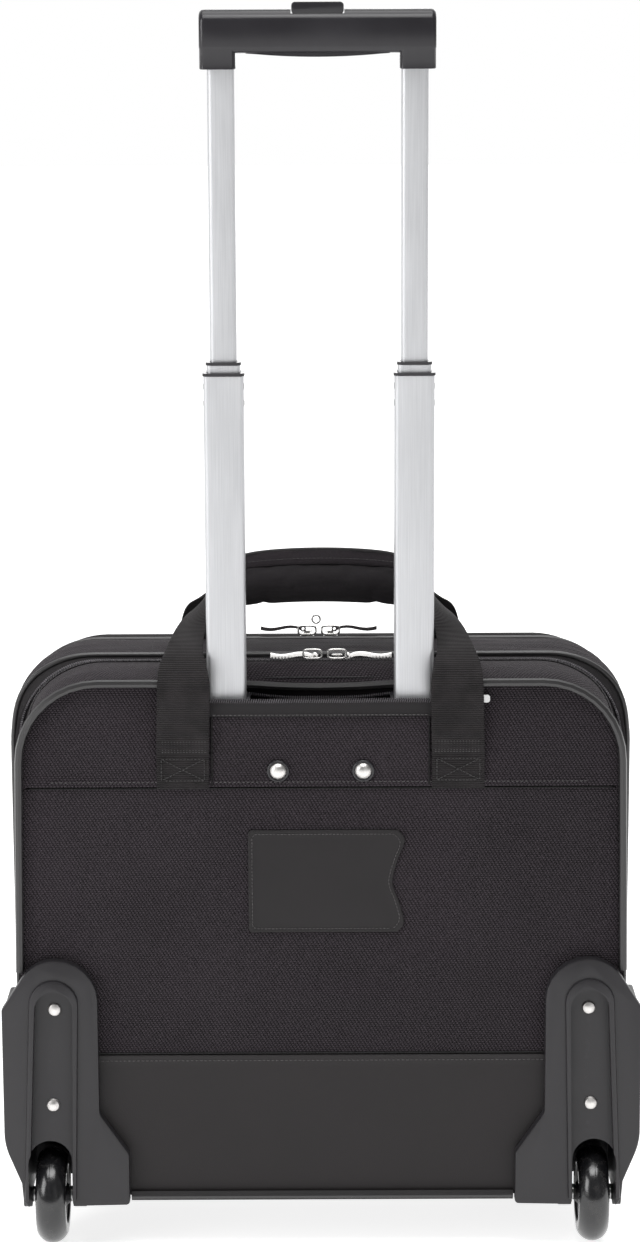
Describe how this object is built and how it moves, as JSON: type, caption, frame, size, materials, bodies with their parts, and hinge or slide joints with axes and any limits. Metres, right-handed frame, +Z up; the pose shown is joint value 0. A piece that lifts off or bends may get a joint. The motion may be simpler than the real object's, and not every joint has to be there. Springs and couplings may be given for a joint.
{
  "type": "rolling laptop case",
  "caption": "Soft laptop case on two wheels, with a telescopic trolley handle, a padded carry handle and zipped sections.",
  "frame": {"origin": "on the floor under the middle of the case's bounding box", "axes": "+Z up; -Y is the rear panel with the trolley and wheels; +X is to the right seen from behind"},
  "size_m": [0.4686, 0.216, 0.91],
  "materials": {
    "case_fabric": "black ballistic weave with a fine diagonal dot pattern",
    "vinyl": "smooth black vinyl with a satin surface",
    "webbing": "black cross-ribbed webbing",
    "board": "stiffener board, matt black",
    "housing_plastic": "charcoal moulded plastic, fine satin grain",
    "grip_plastic": "charcoal moulded plastic with a soft sheen",
    "tube_aluminium": "satin silver anodised, drawn along its length",
    "chrome": "plated zinc, bright",
    "steel": "bright steel",
    "tyre": "glossy black moulded tyre with a centre line"
  },
  "bodies": {
    "case_body": {"rear_section": "case_fabric", "laptop_partition": "board", "rear_piping": "vinyl", "bottom_piping": "vinyl", "tag_patch": "vinyl", "base_board": "board", "front_foot_left": "housing_plastic", "front_foot_right": "housing_plastic", "guide_tube_left": "tube_aluminium", "guide_tube_right": "tube_aluminium", "guide_collar_left": "housing_plastic", "guide_collar_right": "housing_plastic", "trolley_base": "housing_plastic", "trolley_bracket": "housing_plastic", "handle_rivet_left": "chrome", "handle_rivet_right": "chrome", "wheel_housing_left": "housing_plastic", "wheel_housing_right": "housing_plastic", "housing_rivet_upper_left": "chrome", "housing_rivet_lower_left": "chrome", "housing_rivet_upper_right": "chrome", "housing_rivet_lower_right": "chrome", "axle_left": "steel", "axle_right": "steel", "rear_strap_left": "webbing", "rear_strap_right": "webbing", "carry_handle": "case_fabric"},
    "lower_stage_left": {"lower_tube_left": "tube_aluminium", "lower_collar_left": "housing_plastic"},
    "lower_stage_right": {"lower_tube_right": "tube_aluminium", "lower_collar_right": "housing_plastic"},
    "middle_stage_left": {"middle_tube_left": "tube_aluminium", "middle_collar_left": "housing_plastic"},
    "middle_stage_right": {"middle_tube_right": "tube_aluminium", "middle_collar_right": "housing_plastic"},
    "upper_stage": {"upper_tube_left": "tube_aluminium", "upper_tube_right": "tube_aluminium", "handle_grip": "grip_plastic"},
    "release": {"release_button": "grip_plastic", "release_rod_left": "steel", "release_rod_right": "steel"},
    "wheel_left": {"tyre_left": "tyre", "wheel_hub_left": "housing_plastic"},
    "wheel_right": {"tyre_right": "tyre", "wheel_hub_right": "housing_plastic"},
    "main_body": {"main_section": "case_fabric", "front_strap": "webbing"},
    "front_body": {"front_cover": "case_fabric", "front_pocket": "case_fabric"},
    "laptop_zip_left_runner": {"laptop_zip_left_slider": "chrome"},
    "laptop_zip_left_tab": {"laptop_zip_left_pull": "chrome"},
    "laptop_zip_right_runner": {"laptop_zip_right_slider": "chrome"},
    "laptop_zip_right_tab": {"laptop_zip_right_pull": "chrome"},
    "main_zip_left_runner": {"main_zip_left_slider": "chrome"},
    "main_zip_left_tab": {"main_zip_left_pull": "chrome"},
    "main_zip_right_runner": {"main_zip_right_slider": "chrome"},
    "main_zip_right_tab": {"main_zip_right_pull": "chrome"},
    "trolley_zip_runner": {"trolley_zip_slider": "chrome"},
    "trolley_zip_tab": {"trolley_zip_pull": "chrome"}
  },
  "joints": [
    {"name": "lower_left_slide", "type": "slide", "parent": "case_body", "child": "lower_stage_left", "axis": [0, 0, 1], "range_m": [-0.232, 0]},
    {"name": "lower_right_slide", "type": "slide", "parent": "case_body", "child": "lower_stage_right", "axis": [0, 0, 1], "range_m": [-0.232, 0]},
    {"name": "middle_left_slide", "type": "slide", "parent": "lower_stage_left", "child": "middle_stage_left", "axis": [0, 0, 1], "range_m": [-0.005, 0.19]},
    {"name": "middle_right_slide", "type": "slide", "parent": "lower_stage_right", "child": "middle_stage_right", "axis": [0, 0, 1], "range_m": [-0.005, 0.19]},
    {"name": "upper_slide", "type": "slide", "parent": "middle_stage_left", "child": "upper_stage", "axis": [0, 0, 1], "range_m": [-0.2, 0]},
    {"name": "release_press", "type": "slide", "parent": "upper_stage", "child": "release", "axis": [0, 0, -1], "range_m": [0, 0.004], "stiffness_N_per_m": 800, "springref_m": -0.0025},
    {"name": "wheel_left_spin", "type": "hinge", "parent": "case_body", "child": "wheel_left", "pos_m": [-0.201, -0.072, 0.036], "axis": [1, 0, 0], "continuous": true},
    {"name": "wheel_right_spin", "type": "hinge", "parent": "case_body", "child": "wheel_right", "pos_m": [0.201, -0.072, 0.036], "axis": [1, 0, 0], "continuous": true},
    {"name": "main_lean", "type": "hinge", "parent": "case_body", "child": "main_body", "pos_m": [0, 0.074, 0.045], "axis": [-1, 0, 0], "range_deg": [0, 14]},
    {"name": "cover_drop", "type": "hinge", "parent": "main_body", "child": "front_body", "pos_m": [0, 0.0743, 0.05], "axis": [-1, 0, 0], "range_deg": [0, 90]},
    {"name": "laptop_zip_left_slide", "type": "slide", "parent": "case_body", "child": "laptop_zip_left_runner", "axis": [1, 0, 0], "range_m": [-0.14, 0]},
    {"name": "laptop_zip_left_flip", "type": "hinge", "parent": "laptop_zip_left_runner", "child": "laptop_zip_left_tab", "pos_m": [-0.004, -0.028, 0.4369], "axis": [0, 1, 0], "range_deg": [0, 90]},
    {"name": "laptop_zip_right_slide", "type": "slide", "parent": "case_body", "child": "laptop_zip_right_runner", "axis": [1, 0, 0], "range_m": [0, 0.125]},
    {"name": "laptop_zip_right_flip", "type": "hinge", "parent": "laptop_zip_right_runner", "child": "laptop_zip_right_tab", "pos_m": [0.02, -0.028, 0.4369], "axis": [0, -1, 0], "range_deg": [0, 90]},
    {"name": "main_zip_left_slide", "type": "slide", "parent": "main_body", "child": "main_zip_left_runner", "axis": [1, 0, 0], "range_m": [-0.13, 0]},
    {"name": "main_zip_left_flip", "type": "hinge", "parent": "main_zip_left_runner", "child": "main_zip_left_tab", "pos_m": [-0.013, 0.074, 0.4369], "axis": [0, 1, 0], "range_deg": [0, 90]},
    {"name": "main_zip_right_slide", "type": "slide", "parent": "main_body", "child": "main_zip_right_runner", "axis": [1, 0, 0], "range_m": [0, 0.13]},
    {"name": "main_zip_right_flip", "type": "hinge", "parent": "main_zip_right_runner", "child": "main_zip_right_tab", "pos_m": [0.011, 0.074, 0.4369], "axis": [0, -1, 0], "range_deg": [0, 90]},
    {"name": "trolley_zip_slide", "type": "slide", "parent": "case_body", "child": "trolley_zip_runner", "axis": [1, 0, 0], "range_m": [-0.175, 0]},
    {"name": "trolley_zip_swing", "type": "hinge", "parent": "trolley_zip_runner", "child": "trolley_zip_tab", "pos_m": [0.092, -0.0882, 0.418], "axis": [0, 1, 0], "range_deg": [0, 90]}
  ],
  "couplings": [
    {"joint": "lower_right_slide", "follows": "lower_left_slide", "ratio": 1},
    {"joint": "middle_right_slide", "follows": "middle_left_slide", "ratio": 1}
  ]
}
